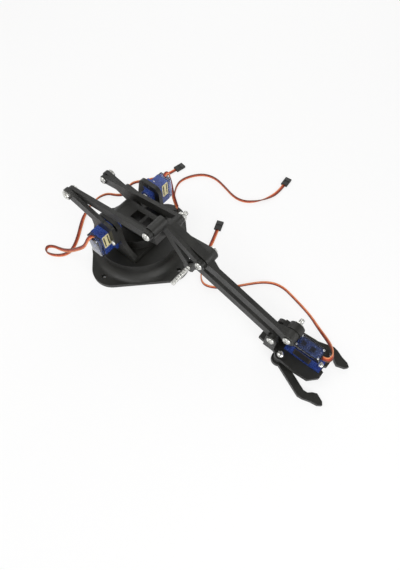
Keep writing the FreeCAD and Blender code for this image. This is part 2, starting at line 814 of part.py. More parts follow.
FINGER_SIDES = ("-pitch_radius", "pitch_radius")


def claw():
    """Gripper frame: plate round its servo, lug for the wrist, yoke for the level rod, finger bosses."""
    right = [(x, f"-({y})") for x, y in CLAW_OUTLINE]
    left = list(reversed(CLAW_OUTLINE))
    plate = outline_body(right + left, "claw_thick")
    solids = [move(plate, z="claw_low")]
    solids.append(box(("wrist_x - neck_width - neck_back", "wrist_x - neck_back"), ("lug_near", "lug_far"),
                      ("claw_low", "wrist_z")))
    solids.append(rod("lug_radius", "lug_near", "lug_far", x="wrist_x", z="wrist_z"))
    for near, far in (("yoke_near", "yoke_far"), ("lug_far", "lug_far + plate_thick")):
        solids.append(rod("plate_radius", near, far, x="yoke_x", z="yoke_z"))
        solids.append(box(("yoke_x - plate_radius", "yoke_x + plate_radius"), (near, far),
                          ("claw_low", "yoke_z")))
    cuts = [box(("claw_front - servo_length - fit", "claw_front + fit"),
                ("-servo_width / 2 - fit", "servo_width / 2 + fit"), ("claw_low - over", "claw_high + over"))]
    for y in FINGER_SIDES:
        solids.append(rod("pivot_boss", "finger_high + gap", "claw_high", x="pivot_x", y=y, axis="z"))
        cuts.append(rod("pivot_bolt + running", "finger_floor", "claw_high + over", x="pivot_x", y=y,
                        axis="z"))
    for x in EAR_HOLES:
        cuts.append(rod("tapper_radius + fit", "claw_low - over", "claw_high + over",
                        x=f"claw_servo_x - ({x})", axis="z"))
    cuts.append(rod(BORE, "lug_near - over", "lug_far + over", x="wrist_x", z="wrist_z"))
    cuts.append(rod(BORE, "yoke_near - over", "yoke_far + over", x="yoke_x", z="yoke_z"))
    node(cut(fuse(*solids), *cuts), "claw")


def gear_sector(first, count):
    """A hub with a fan of gear teeth, the first at an angle and the others one pitch apart."""
    rise = "(tip_radius - pitch_radius) * tan(pressure_angle)"
    sink = "(pitch_radius - root_radius + over) * tan(pressure_angle)"
    solids = [rod("gear_hub", "0", "gear_thick", axis="z")]
    for index in range(count):
        web = taper("0", "root_radius", "tooth_half", "pi * root_radius / gear_teeth", "0", "gear_thick",
                    LEVEL)
        tooth = taper("root_radius - over", "tip_radius", f"tooth_half + {sink}", f"tooth_half - {rise}", "0",
                      "gear_thick", LEVEL)
        for solid in (web, tooth):
            solids.append(spin(group(solid), f"{first} + 360 * {index} / gear_teeth"))
    return solids


def finger(name, side, angle, first, count):
    """A geared finger: toothed hub, straight arm and a hooked end that points inwards."""
    outline = [("-finger_half", f"{side} * finger_half")]
    for along, across in HOOK:
        outline.append((f"finger_reach + {along} * hook_reach", f"{-side * across} * hook_rise"))
    outline.append(("-finger_half", f"{-side} * finger_half"))
    blade = spin(outline_body(outline, "gear_thick"), angle)
    bore = rod("pivot_bolt + running", "-over", "gear_thick + over", axis="z")
    sink = rod("pivot_head + gap", "-over", "gear_thick / 2", axis="z")
    solid = cut(fuse(blade, *gear_sector(first, count)), bore, sink)
    node(move(solid, "pivot_x", f"{side} * pitch_radius", "finger_floor"), name)


def pinion():
    """Toothed sector on the gripper servo's shaft that turns the near finger."""
    sector = gear_sector(f"180 + {MESH_ANGLE} - 180 / gear_teeth", PINION_TEETH)
    shaft = rod("spline_radius", "pinion_drop", "gear_thick + over", axis="z")
    node(move(cut(fuse(*sector), shaft), "claw_servo_x", "0", "finger_floor"), "pinion")


def finger_bolts():
    """The two upright bolts that the fingers turn on, with their sunk nuts."""
    solids = []
    for y in FINGER_SIDES:
        head = rod("pivot_head", "claw_high", "claw_high + head_height", x="pivot_x", y=y, axis="z")
        shank = rod("pivot_bolt", "finger_floor + gap", "claw_high", x="pivot_x", y=y, axis="z")
        collar = rod("pivot_nut", "finger_floor + gap", "finger_high - gear_thick / 2 - gap", x="pivot_x",
                     y=y, axis="z")
        solids.append(fuse(head, shank, collar))
    node(group(*solids), "finger_bolts")


# Leads: routes in millimetres, from the servo to the plug

SHOULDER_ROUTE = [
    (-2, -42, 57.1), (-2, -42, 62.5), (-3, -48, 64), (-4.5, -52, 57), (-9, -53, 46), (-17, -54, 34),
    (-28, -55, 21), (-41, -55.5, 9), (-53, -55, 2.6), (-62, -55.5, 1.1), (-68, -60, 1.1), (-64, -65.5, 1.1),
    (-56, -63.5, 1.1), (-48, -57.5, 1.1), (-45.5, -49.5, 1.1), (-48.5, -41, 1.1), (-54.7, -31, 1.1),
    (-61.4, -22, 1.1), (-68, -12, 1.1), (-73.4, 2, 1.1), (-74.6, 15, 1.1), (-71, 24, 1.1), (-63.6, 27.4, 1.1),
    (-57, 32.5, 1.1), (-57, 41, 1.1), (-62.5, 48.5, 1.1), (-64, 57, 1.1), (-58, 65.5, 1.1),
    (-49.9, 74.3, 1.1), (-42, 85, 1.1), (-38.5, 95, 1.1),
]
ELBOW_ROUTE = [
    (-2, 42, 57.1), (-2, 42, 62.5), (-2, 47.6, 63.6), (-2, 50.6, 57), (-2.3, 51, 46), (-2, 52.5, 34),
    (0, 55.5, 22), (2, 59, 11), (2, 62, 4), (-4, 63.8, 1.1), (-13, 66.5, 1.1), (-20.5, 74, 1.1),
    (-24, 85, 1.1), (-19.5, 98, 1.1), (-10, 109, 1.1), (3, 112.5, 1.1), (18, 109, 1.1), (34, 104, 1.1),
    (46, 105.5, 1.1), (56, 114, 1.1), (63, 126, 1.1), (66, 139, 1.1), (65, 151, 1.1),
]
GRIPPER_ROUTE = [
    (195.3, 0, 28), (199.8, 0, 28), (202, 6, 25.4), (200.5, 12.5, 20), (197.5, 18.5, 14), (193, 24, 8.2),
    (187, 28.8, 3.6), (178.5, 33.5, 1.1), (168, 38.5, 1.1), (156, 42, 1.1), (146, 44.5, 1.1), (135, 47, 1.1),
    (125, 45.5, 1.1), (116, 39.5, 1.1), (108, 30.5, 1.1), (100, 20.5, 1.1), (92, 12, 1.1), (83, 5.5, 1.1),
    (75.5, 3.5, 1.1), (69.5, 7, 1.1), (65, 14, 1.1), (60, 25, 1.1), (55, 37, 1.1), (51.5, 48, 1.1),
    (47, 60, 1.1),
]


# How much of the shorter run beside a corner its arc takes, and how far a tube's volume may be off
BEND_SHARE = 0.45
VOLUME_TOLERANCE = 0.02


def lead_path(name, route):
    """Straight runs joined by tangent arcs, each as large as its two runs allow."""
    points = [Vector(*point) for point in route]
    edges = []
    start = points[0]
    tightest = math.inf
    for before, corner, after in zip(points, points[1:], points[2:]):
        back = before - corner
        onward = after - corner
        turn_angle = math.pi - back.getAngle(onward)
        trim = BEND_SHARE * min(back.Length, onward.Length)
        radius = trim / math.tan(turn_angle / 2)
        tightest = min(tightest, radius)
        back.normalize()
        onward.normalize()
        enter = corner + back * trim
        leave = corner + onward * trim
        bisector = (back + onward).normalize()
        middle = corner + bisector * (radius / math.cos(turn_angle / 2) - radius)
        edges.append(Part.LineSegment(start, enter).toShape())
        edges.append(Part.Arc(enter, middle, leave).toShape())
        start = leave
    edges.append(Part.LineSegment(start, points[-1]).toShape())
    wire = Part.Wire(edges)
    print(f"{name}: length {wire.Length:.1f}, tightest radius {tightest:.1f}")
    return wire


def lead(name, route):
    """A servo's lead as one plain tube, and the plug at its far end."""
    wire = lead_path(name, route)
    first = Vector(*route[1]) - Vector(*route[0])
    radius = value("lead_radius")
    section = Part.Wire([Part.Circle(Vector(*route[0]), first, radius).toShape()])
    tube = wire.makePipeShell([section], True, True)
    expected = math.pi * radius ** 2 * wire.Length
    if abs(tube.Volume - expected) > VOLUME_TOLERANCE * expected:
        raise ValueError(f"{name} tube is {tube.Volume:.0f}, not {expected:.0f}")
    item = DOC.addObject("Part::Feature", "Lead")
    item.Shape = tube
    node(item, name + "_lead")

    end = Vector(*route[-1])
    ahead = end - Vector(*route[-2])
    shell = box(("0", "plug_length"), ("-plug_width / 2", "plug_width / 2"), ("fit", "plug_thick + fit"))
    plug = spin(group(shell), str(math.degrees(math.atan2(ahead.y, ahead.x))))
    plug.Placement.Base = Vector(end.x, end.y, 0)
    node(plug, name + "_plug")


for servo_name in SERVO_AT:
    servo(servo_name)
horn("base", "0", arms=2)
horn("shoulder", "-90 - arm_angle")
horn("elbow", "forearm_angle + 270")
base_screws()
servo_screws("shoulder", EAR_HOLES[1:])
servo_screws("elbow")
servo_screws("gripper")

base()
turntable()
level_bracket()
bracket_screws()
main_arm()
drive_lever()
plain_link("drive_link", "arm_length", "arm_angle", "drive_near", "drive_far", "link_radius",
           "lever_x", "lever_z")
plain_link("level_link", "arm_length", "arm_angle", "level_near", "level_far", "link_radius",
           "anchor_x", "anchor_z")
triangle_link()
forearm()
plain_link("level_rod", "forearm_length", "forearm_angle", "rod_near", "rod_far", "link_radius",
           "rod_x", "rod_z")
pivots()

claw()
finger("near_finger", -1, "near_finger_angle", f"{MESH_ANGLE} - 720 / gear_teeth", NEAR_TEETH)
finger("far_finger", 1, "far_finger_angle", f"360 - {MESH_ANGLE} - 11 * 180 / gear_teeth", FAR_TEETH)
pinion()
finger_bolts()
lead("shoulder", SHOULDER_ROUTE)
lead("elbow", ELBOW_ROUTE)
lead("gripper", GRIPPER_ROUTE)

DOC.recompute()
failed = [item.Name for item in DOC.Objects if "Invalid" in item.State or "Error" in item.State]
if failed:
    raise RuntimeError("not built: " + ", ".join(failed))
for item in NODES:
    if item.Shape.isNull() or not item.Shape.isValid() or not item.Shape.Solids:
        raise RuntimeError("bad shape: " + item.Label)

os.makedirs("parts", exist_ok=True)
for item in NODES:
    item.Shape.exportStep(f"parts/{item.Label}.step")
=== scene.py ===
"""Looks of the printed robot arm: finishes, fasteners, servo details, ribbon leads, light and camera."""
import json
import math
from typing import NamedTuple

import bmesh
import bpy
import numpy as np
from mathutils import Matrix, Vector


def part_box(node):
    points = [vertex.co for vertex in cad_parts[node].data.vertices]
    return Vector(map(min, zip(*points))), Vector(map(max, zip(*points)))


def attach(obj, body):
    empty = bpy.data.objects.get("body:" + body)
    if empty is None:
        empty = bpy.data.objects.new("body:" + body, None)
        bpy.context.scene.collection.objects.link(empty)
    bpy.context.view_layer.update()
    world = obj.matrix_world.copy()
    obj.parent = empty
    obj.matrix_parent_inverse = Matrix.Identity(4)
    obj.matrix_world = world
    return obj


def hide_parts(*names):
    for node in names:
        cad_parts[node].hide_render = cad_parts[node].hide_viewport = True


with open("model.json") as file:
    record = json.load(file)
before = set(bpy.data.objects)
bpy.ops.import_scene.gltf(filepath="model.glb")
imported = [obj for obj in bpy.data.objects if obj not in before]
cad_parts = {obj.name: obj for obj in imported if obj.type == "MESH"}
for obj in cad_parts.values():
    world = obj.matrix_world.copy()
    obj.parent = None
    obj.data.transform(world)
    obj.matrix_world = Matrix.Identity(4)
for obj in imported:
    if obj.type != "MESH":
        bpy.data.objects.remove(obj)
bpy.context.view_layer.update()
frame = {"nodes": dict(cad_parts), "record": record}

NODES = frame["nodes"]
BODIES = frame["record"]["behaviour"]["bodies"]
BODY_OF = {node: body for body, members in BODIES.items() for node in members}
MM = 0.001
NEARLY = 1e-6  # metres: places that are less than this apart count as one


# Finishes

WAVE_LENGTH = 2 * math.pi / 20  # of one band of the wave texture at scale 1
RAMP_FOOT = 0.3  # noise value where a colour ramp starts
BAND_DETAIL = 0.6  # scale of the fine waver in a band
EDGE_SAMPLES = 4
MIX_INPUTS, MIX_OUTPUT = (0, 6, 7), 2  # sockets of the mix node for its share, its two colours and the result


class Finish:
    """A node material under construction: one principled shader and short ways to feed it."""

    def __init__(self, name, metallic=0.0):
        self.material = bpy.data.materials.new(name)
        self.material.use_nodes = True
        self.tree = self.material.node_tree
        self.shader = self.tree.nodes["Principled BSDF"]
        self.place = self.node("ShaderNodeTexCoord").outputs["Object"]
        self.surface("Metallic", metallic)

    def node(self, kind, **settings):
        """A new node with its settings, such as an operation."""
        made = self.tree.nodes.new(kind)
        for key, setting in settings.items():
            setattr(made, key, setting)
        return made

    def put(self, socket, source):
        """Give a socket a number, a colour or another node's output."""
        if isinstance(source, bpy.types.NodeSocket):
            self.tree.links.new(source, socket)
        elif isinstance(source, tuple):
            socket.default_value = (*source, 1)
        else:
            socket.default_value = source

    def surface(self, name, source):
        """Give the shader one of its inputs."""
        self.put(self.shader.inputs[name], source)

    def color(self, source):
        self.surface("Base Color", source)

    def roughness(self, source):
        self.surface("Roughness", source)

    def stretched(self, scale):
        """Object coordinates, scaled along each axis."""
        mapping = self.node("ShaderNodeMapping")
        mapping.inputs["Scale"].default_value = scale
        self.put(mapping.inputs["Vector"], self.place)
        return mapping.outputs["Vector"]

    def parts(self, vector):
        """X, Y and Z of a vector."""
        made = self.node("ShaderNodeSeparateXYZ")
        self.put(made.inputs["Vector"], vector)
        return made.outputs

    def off_middle(self):
        """How far a point of the piece's own UV map is from its middle, along and across."""
        spot = self.parts(self.node("ShaderNodeUVMap").outputs["UV"])
        return [self.math("ABSOLUTE", self.math("SUBTRACT", spot[axis], 0.5)) for axis in ("X", "Y")]

    def noise(self, size, detail=2.0, vector=None):
        """Noise whose grains are about this many metres across."""
        made = self.node("ShaderNodeTexNoise")
        made.inputs["Scale"].default_value = 1 / size
        made.inputs["Detail"].default_value = detail
        self.put(made.inputs["Vector"], vector or self.place)
        return made.outputs["Fac"]

    def bands(self, pitch, direction, distortion):
        """Even bands, one for each pitch in metres along one axis."""
        made = self.node("ShaderNodeTexWave", bands_direction=direction)
        made.inputs["Scale"].default_value = WAVE_LENGTH / pitch
        made.inputs["Distortion"].default_value = distortion
        made.inputs["Detail Scale"].default_value = BAND_DETAIL
        self.put(made.inputs["Vector"], self.place)
        return made.outputs["Fac"]

    def math(self, operation, *sources):
        made = self.node("ShaderNodeMath", operation=operation)
        for socket, source in zip(made.inputs, sources):
            self.put(socket, source)
        return made.outputs["Value"]

    def spread(self, source, low, high, low_in=0.0, high_in=1.0):
        """A value brought from one range to another."""
        made = self.node("ShaderNodeMapRange")
        for name, limit in (("From Min", low_in), ("From Max", high_in), ("To Min", low), ("To Max", high)):
            made.inputs[name].default_value = limit
        self.put(made.inputs["Value"], source)
        return made.outputs["Result"]

    def ramp(self, source, dark, bright, top=0.7):
        """Colour from dark to bright as the source rises to a top value."""
        made = self.node("ShaderNodeValToRGB")
        for element, place, color in zip(made.color_ramp.elements, (RAMP_FOOT, top), (dark, bright)):
            element.position = place
            element.color = (*color, 1)
        self.put(made.inputs["Fac"], source)
        return made.outputs["Color"]

    def mix(self, share, first, second):
        """Colour between two, each a socket or three numbers."""
        made = self.node("ShaderNodeMix", data_type="RGBA")
        for index, source in zip(MIX_INPUTS, (share, first, second)):
            self.put(made.inputs[index], source)
        return made.outputs[MIX_OUTPUT]

    def bump(self, height, depth, edge=0.0):
        """Relief of this many metres; edge is how far the normal rounds sharp edges."""
        made = self.node("ShaderNodeBump")
        made.inputs["Strength"].default_value = 1.0
        made.inputs["Distance"].default_value = depth
        self.put(made.inputs["Height"], height)
        if edge:
            soft = self.node("ShaderNodeBevel", samples=EDGE_SAMPLES)
            soft.inputs["Radius"].default_value = edge
            self.put(made.inputs["Normal"], soft.outputs["Normal"])
        self.surface("Normal", made.outputs["Normal"])


LAYER_PITCH = 0.0003
RASTER_PITCH = 0.0005


def printed_black(name, stack):
    """Black filament print: layers stacked along one axis, a diagonal raster on the faces across it."""
    finish = Finish(name)
    layers = finish.bands(LAYER_PITCH, stack, 0.4)
    raster = finish.bands(RASTER_PITCH, "DIAGONAL", 0.2)
    normal = finish.parts(finish.node("ShaderNodeNewGeometry").outputs["True Normal"])
    flat = finish.spread(finish.math("ABSOLUTE", normal[stack]), 0, 1, 0.85, 0.97)
    lines = finish.math("ADD", finish.math("MULTIPLY", layers, finish.math("SUBTRACT", 1, flat)),
                        finish.math("MULTIPLY", raster, flat))
    patches = finish.noise(0.012, 3)
    grain = finish.math("MULTIPLY", finish.noise(0.0006, 2), 0.5)
    finish.color(finish.ramp(patches, (0.0045, 0.0045, 0.0034), (0.0115, 0.0115, 0.0088), 0.72))
    finish.roughness(finish.spread(finish.math("ADD", patches, grain), 0.3, 0.55, 0.4, 1.1))
    finish.bump(finish.math("ADD", lines, grain), 0.00004, edge=0.0004)
    finish.surface("Specular IOR Level", 0.5)
    return finish.material


def tinted_shell(name, deep, pale, clear, roughness):
    """Tinted see-through moulding with faint flow lines."""
    finish = Finish(name)
    flow = finish.noise(0.006, 2, finish.stretched((1, 1, 3)))
    finish.color(finish.ramp(flow, deep, pale, 0.75))
    scuffs = finish.noise(0.0012, 3)
    finish.roughness(finish.spread(scuffs, roughness * 0.7, roughness * 1.6, 0.3, 0.75))
    finish.bump(scuffs, 0.00001, edge=0.0003)
    finish.surface("Transmission Weight", clear)
    finish.surface("IOR", 1.5)
    return finish.material


def nylon():
    """White moulded nylon of the servo horns and shafts."""
    finish = Finish("white_nylon")
    cloud = finish.noise(0.003, 2)
    finish.color(finish.ramp(cloud, (0.7, 0.69, 0.63), (0.86, 0.85, 0.81)))
    finish.roughness(finish.spread(cloud, 0.32, 0.5))
    finish.bump(finish.noise(0.0004), 0.00001, edge=0.0002)
    finish.surface("Subsurface Weight", 0.1)
    finish.shader.inputs["Subsurface Radius"].default_value = (0.001, 0.001, 0.0008)
    return finish.material


def zinc_plate():
    """Bright zinc plating with fine turning marks and dull patches."""
    finish = Finish("zinc_plate", metallic=1.0)
    patches = finish.noise(0.0015, 3)
    marks = finish.noise(0.0003, 2)
    finish.color(finish.ramp(patches, (0.54, 0.54, 0.52), (0.8, 0.8, 0.765)))
    finish.roughness(finish.spread(patches, 0.22, 0.38, 0.3, 0.7))
    finish.bump(marks, 0.00001, edge=0.00015)
    return finish.material


def gold_sticker():
    """Bare pale gold foil sticker with two plain dark bars along it."""
    finish = Finish("gold_sticker")
    along, across = finish.off_middle()
    worn = finish.math("MULTIPLY", finish.noise(0.0016, 2), 0.16)
    bar = finish.math("COMPARE", finish.math("ADD", across, worn), 0.36, 0.085)
    inside = finish.math("LESS_THAN", along, 0.4)
    crinkle = finish.noise(0.002, 3)
    gold = finish.ramp(crinkle, (0.6, 0.52, 0.24), (0.8, 0.73, 0.44))
    finish.color(finish.mix(finish.math("MULTIPLY", bar, inside), gold, (0.035, 0.03, 0.02)))
    finish.roughness(finish.spread(crinkle, 0.25, 0.5))
    finish.bump(crinkle, 0.00003)
    return finish.material


def black_sticker():
    """Bare dark sticker with a thin gold border."""
    finish = Finish("black_sticker")
    border = finish.math("COMPARE", finish.math("MAXIMUM", *finish.off_middle()), 0.445, 0.012)
    crinkle = finish.noise(0.002, 3)
    dark = finish.ramp(crinkle, (0.008, 0.008, 0.009), (0.022, 0.02, 0.018))
    finish.color(finish.mix(border, dark, (0.1, 0.07, 0.03)))
    finish.roughness(finish.spread(crinkle, 0.22, 0.42))
    finish.bump(crinkle, 0.00002)
    return finish.material


def wire_skin(name, dark, bright):
    """Soft insulation of one wire of a ribbon lead."""
    finish = Finish(name)
    cloud = finish.noise(0.004, 3)
    finish.color(finish.ramp(cloud, dark, bright))
    finish.roughness(finish.spread(finish.noise(0.0008), 0.36, 0.55))
    finish.bump(cloud, 0.00002)
    return finish.material


def grained(name, size, dark, bright, rough, depth=0.00001):
    """A fine grained finish for small parts: size of the grain, two colours, two roughnesses, relief."""
    finish = Finish(name)
    grain = finish.noise(size, 3)
    finish.color(finish.ramp(grain, dark, bright))
    finish.roughness(finish.spread(grain, *rough))
    finish.bump(grain, depth)
    return finish.material


PRINT_STANDING = printed_black("print_standing", "Z")
PRINT_LYING = printed_black("print_lying", "Y")
BLUE_SHELL = tinted_shell("blue_shell", (0.013, 0.03, 0.17), (0.034, 0.082, 0.36), 0.15, 0.26)
PALE_SHELL = tinted_shell("pale_shell", (0.36, 0.41, 0.66), (0.5, 0.55, 0.75), 1.0, 0.05)
NYLON = nylon()
ZINC = zinc_plate()
GOLD = gold_sticker()
DARK_STICKER = black_sticker()
BROWN = wire_skin("brown_wire", (0.12, 0.03, 0.012), (0.22, 0.06, 0.022))
RED = wire_skin("red_wire", (0.38, 0.035, 0.016), (0.54, 0.07, 0.035))
ORANGE = wire_skin("orange_wire", (0.66, 0.19, 0.06), (0.82, 0.3, 0.12))
PLUG = grained("plug_black", 0.0005, (0.008, 0.008, 0.008), (0.02, 0.02, 0.019), (0.42, 0.62), 0.00002)
BOARD = grained("board_lacquer", 0.001, (0.1, 0.16, 0.26), (0.2, 0.28, 0.4), (0.28, 0.42))
CHIP = grained("chip_black", 0.001, (0.006, 0.006, 0.007), (0.015, 0.015, 0.016), (0.32, 0.48))
SOLDER = grained("solder", 0.0004, (0.75, 0.77, 0.8), (0.92, 0.93, 0.95), (0.24, 0.36))


# Shared ways of making pieces

SHARP_ANGLE = math.radians(35)


def linked(name, data):
    """A new object in the scene."""
    made = bpy.data.objects.new(name, data)
    bpy.context.scene.collection.objects.link(made)
    return made


def piece(name, mesh, body, slot, *materials):
    """A finished piece: its mesh is in the row frame and it rides on a body."""
    for material in materials:
        mesh.materials.append(material)
    made = linked(name, mesh)
    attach(made, body)
    return made


def stand_in(name, mesh, node, slot, *materials):
    """A finished piece that takes the place of a node, on the node's body."""
    made = piece(name, mesh, BODY_OF[node], slot, *materials)
    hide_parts(node)
    return made


def evaluated_mesh(made):
    """The plain mesh that an object's modifiers give; the object is removed."""
    bpy.context.view_layer.update()
    graph = bpy.context.evaluated_depsgraph_get()
    mesh = bpy.data.meshes.new_from_object(made.evaluated_get(graph))
    bpy.data.objects.remove(made)
    return mesh


def plain_mesh(name, shape):
    """A mesh from an edit mesh, its normals turned outwards."""
    bmesh.ops.recalc_face_normals(shape, faces=shape.faces)
    mesh = bpy.data.meshes.new(name)
    shape.to_mesh(mesh)
    shape.free()
    return mesh


def merged(name, meshes):
    """Several meshes as one."""
    shape = bmesh.new()
    for mesh in meshes:
        shape.from_mesh(mesh)
    whole = bpy.data.meshes.new(name)
    shape.to_mesh(whole)
    shape.free()
    return whole


def shade(mesh):
    """Smooth shading, kept sharp at steep edges."""
    mesh.shade_smooth()
    mesh.set_sharp_from_angle(angle=SHARP_ANGLE)
    return mesh


def block(shape, low, high):
    """Add a box between two corners, in millimetres, and return its faces."""
    centre = [(a + b) / 2 * MM for a, b in zip(low, high)]
    size = [(b - a) * MM for a, b in zip(low, high)]
    matrix = Matrix.Translation(centre) @ Matrix.Diagonal((*size, 1))
    verts = bmesh.ops.create_cube(shape, size=1, matrix=matrix)["verts"]
    return list({face for vert in verts for face in vert.link_faces})


def edges_along(shape, axis):
    """The edges that run along one axis."""
    return [edge for edge in shape.edges
            if all(abs(edge.verts[0].co[k] - edge.verts[1].co[k]) < NEARLY for k in range(3) if k != axis)]


def softened(shape, edges, width, segments):
    """Round some edges by a width in millimetres."""
    bmesh.ops.bevel(shape, geom=edges, offset=width * MM, segments=segments, profile=0.5, affect="EDGES")


# Fasteners, made by geometry nodes

SLIVER = 2e-6  # edges shorter than this are left over from a boolean
HEAD_SIDES, HEAD_STEPS, HEAD_RINGS = 40, 5, 8
CROWN, CROWN_POWER = 0.42, 3.0  # share of its height that a pan head loses at its rim, and the curve's power
WAIST, WAIST_POWER = 0.12, 4.0  # share of its radius that it loses at its top, and the curve's power
RECESS_LENGTH, RECESS_WIDTH = 1.1, 0.26  # arms of the cross recess, in head radii
CORE, RIDGE = 0.86, 0.14  # a screw's core and the ridge of its thread, in shank radii
CORE_SIDES, COIL_STEPS, RIDGE_SIDES = 20, 14, 4
TURNED = 1.02  # ball that takes off a nut's corners, in nut radii
BALL_SIDES, BALL_RINGS, BORE_SIDES = 48, 24, 24


class Tree:
    """A geometry node tree under construction."""

    def __init__(self, name, **inputs):
        self.tree = bpy.data.node_groups.new(name, "GeometryNodeTree")
        face = self.tree.interface
        face.new_socket("Geometry", in_out="INPUT", socket_type="NodeSocketGeometry")
        for label, kind in inputs.items():
            face.new_socket(label, in_out="INPUT", socket_type="NodeSocket" + kind)
        face.new_socket("Geometry", in_out="OUTPUT", socket_type="NodeSocketGeometry")
        self.input = self.tree.nodes.new("NodeGroupInput").outputs
        self.output = self.tree.nodes.new("NodeGroupOutput")

    def node(self, kind, settings=None, **sources):
        """A node; each source is a number, vector or socket, keyed by the input's name with _ for spaces."""
        made = self.tree.nodes.new(kind if kind.startswith("ShaderNode") else "GeometryNode" + kind)
        for key, setting in (settings or {}).items():
            setattr(made, key, setting)
        for key, source in sources.items():
            self.put(made.inputs[key.replace("_", " ")], source)
        return made

    def put(self, socket, source):
        """Give a socket a value, another node's output or a list of outputs."""
        for one in source if isinstance(source, list) else [source]:
            if isinstance(one, bpy.types.NodeSocket):
                self.tree.links.new(one, socket)
            else:
                socket.default_value = one

    def math(self, operation, *sources):
        made = self.node("ShaderNodeMath", {"operation": operation})
        for socket, source in zip(made.inputs, sources):
            self.put(socket, source)
        return made.outputs[0]

    def times(self, first, second):
        return self.math("MULTIPLY", first, second)

    def vector(self, x=0.0, y=0.0, z=0.0):
        return self.node("ShaderNodeCombineXYZ", X=x, Y=y, Z=z).outputs[0]

    def raised(self, geometry, height):
        """Geometry moved along Z."""
        return self.node("Transform", Geometry=geometry, Translation=self.vector(z=height)).outputs[0]

    def boolean(self, operation, tools, mesh=None):
        """Union or intersection of some tools, or a mesh with the tools taken away."""
        made = self.node("MeshBoolean", {"operation": operation, "solver": "EXACT"}, Mesh_2=tools)
        if mesh is not None:
            self.put(made.inputs["Mesh 1"], mesh)
        return made.outputs[0]

    def cleaned(self, geometry):
        """Without the slivers that a boolean leaves."""
        return self.node("MergeByDistance", Geometry=geometry, Distance=SLIVER).outputs[0]

    def placed(self, *geometry):
        """End of the tree: the shapes on every point of the input, turned, made real, with their finish."""
        whole = self.node("JoinGeometry", Geometry=list(geometry)).outputs[0]
        points = self.node("MeshToPoints", Mesh=self.input["Geometry"]).outputs[0]
        copies = self.node("InstanceOnPoints", Points=points, Instance=whole, Rotation=self.input["Turn"])
        real = self.node("RealizeInstances", Geometry=copies.outputs[0]).outputs[0]
        done = self.node("SetMaterial", Geometry=real, Material=self.input["Finish"]).outputs[0]
        self.tree.links.new(done, self.output.inputs["Geometry"])
        return self.tree


def pan_screw_tree():
    """Pan head with a cross recess, core and helical thread; the origin is under the head."""
    t = Tree("pan_screw", HeadRadius="Float", HeadHeight="Float", Radius="Float", Length="Float",
             Pitch="Float", Turn="Rotation", Finish="Material")
    radius, height, shank, length, pitch = (
        t.input[size] for size in ("HeadRadius", "HeadHeight", "Radius", "Length", "Pitch"))

    drum = t.node("MeshCylinder", {"fill_type": "TRIANGLE_FAN"}, Vertices=HEAD_SIDES, Radius=radius,
                  Side_Segments=HEAD_STEPS, Fill_Segments=HEAD_RINGS, Depth=height).outputs[0]
    x, y, z = t.node("ShaderNodeSeparateXYZ", Vector=t.node("InputPosition").outputs[0]).outputs
    reach = t.math("SQRT", t.math("ADD", t.math("POWER", x, 2.0), t.math("POWER", y, 2.0)))
    level = t.math("ADD", t.math("DIVIDE", z, height), 0.5)
    outward = t.math("DIVIDE", reach, radius)
    crown = t.math("SUBTRACT", 1.0, t.times(t.math("POWER", outward, CROWN_POWER), CROWN))
    waist = t.math("SUBTRACT", 1.0, t.times(t.math("POWER", level, WAIST_POWER), WAIST))
    domed = t.vector(t.times(x, waist), t.times(y, waist), t.times(t.times(level, height), crown))
    head = t.node("SetPosition", Geometry=drum, Position=domed).outputs[0]

    slots = []
    for wide, narrow in ((RECESS_LENGTH, RECESS_WIDTH), (RECESS_WIDTH, RECESS_LENGTH)):
        size = t.vector(t.times(radius, wide), t.times(radius, narrow), height)
        slots.append(t.raised(t.node("MeshCube", Size=size).outputs[0], height))
    recessed = t.boolean("DIFFERENCE", t.boolean("UNION", slots), head)

    core_radius, ridge_radius = t.times(shank, CORE), t.times(shank, RIDGE)
    core = t.node("MeshCylinder", Vertices=CORE_SIDES, Radius=core_radius, Depth=length).outputs[0]
    coil = t.node("CurveSpiral", Resolution=COIL_STEPS, Rotations=t.math("DIVIDE", length, pitch),
                  Start_Radius=core_radius, End_Radius=core_radius,
                  Height=t.math("SUBTRACT", length, pitch)).outputs[0]
    ridge = t.node("CurvePrimitiveCircle", Resolution=RIDGE_SIDES, Radius=ridge_radius).outputs[0]
    thread = t.node("CurveToMesh", Curve=coil, Profile_Curve=ridge, Fill_Caps=True).outputs[0]
    return t.placed(t.cleaned(recessed), t.raised(core, t.times(length, -0.5)),
                    t.raised(thread, t.math("SUBTRACT", ridge_radius, length)))


def hex_nut_tree():
    """Hexagon nut with turned corners and a bore; the origin is on its seat."""
    t = Tree("hex_nut", Radius="Float", Height="Float", Bore="Float", Turn="Rotation", Finish="Material")
    radius, height, bore = (t.input[size] for size in ("Radius", "Height", "Bore"))
    hexagon = t.node("MeshCylinder", Vertices=6, Radius=radius, Depth=height).outputs[0]
    ball = t.node("MeshUVSphere", Segments=BALL_SIDES, Rings=BALL_RINGS,
                  Radius=t.times(radius, TURNED)).outputs[0]
    tool = t.node("MeshCylinder", Vertices=BORE_SIDES, Radius=bore, Depth=t.times(height, 2.0)).outputs[0]
    bored = t.boolean("DIFFERENCE", tool, t.boolean("INTERSECT", [hexagon, ball]))
    return t.placed(t.raised(t.cleaned(bored), t.times(height, 0.5)))


PAN_SCREW = pan_screw_tree()
HEX_NUT = hex_nut_tree()


def grown(name, tree, points, **settings):
    """The plain mesh that a geometry node tree grows on some points."""
    seed = bpy.data.meshes.new(name + "_points")
    seed.from_pydata([tuple(point) for point in points], [], [])
    carrier = linked(name + "_points", seed)
    modifier = carrier.modifiers.new("grow", "NODES")
    modifier.node_group = tree
    sockets = {item.name: item.identifier for item in tree.interface.items_tree if item.in_out == "INPUT"}
    for label, setting in settings.items():
        modifier[sockets[label]] = setting
    return evaluated_mesh(carrier)


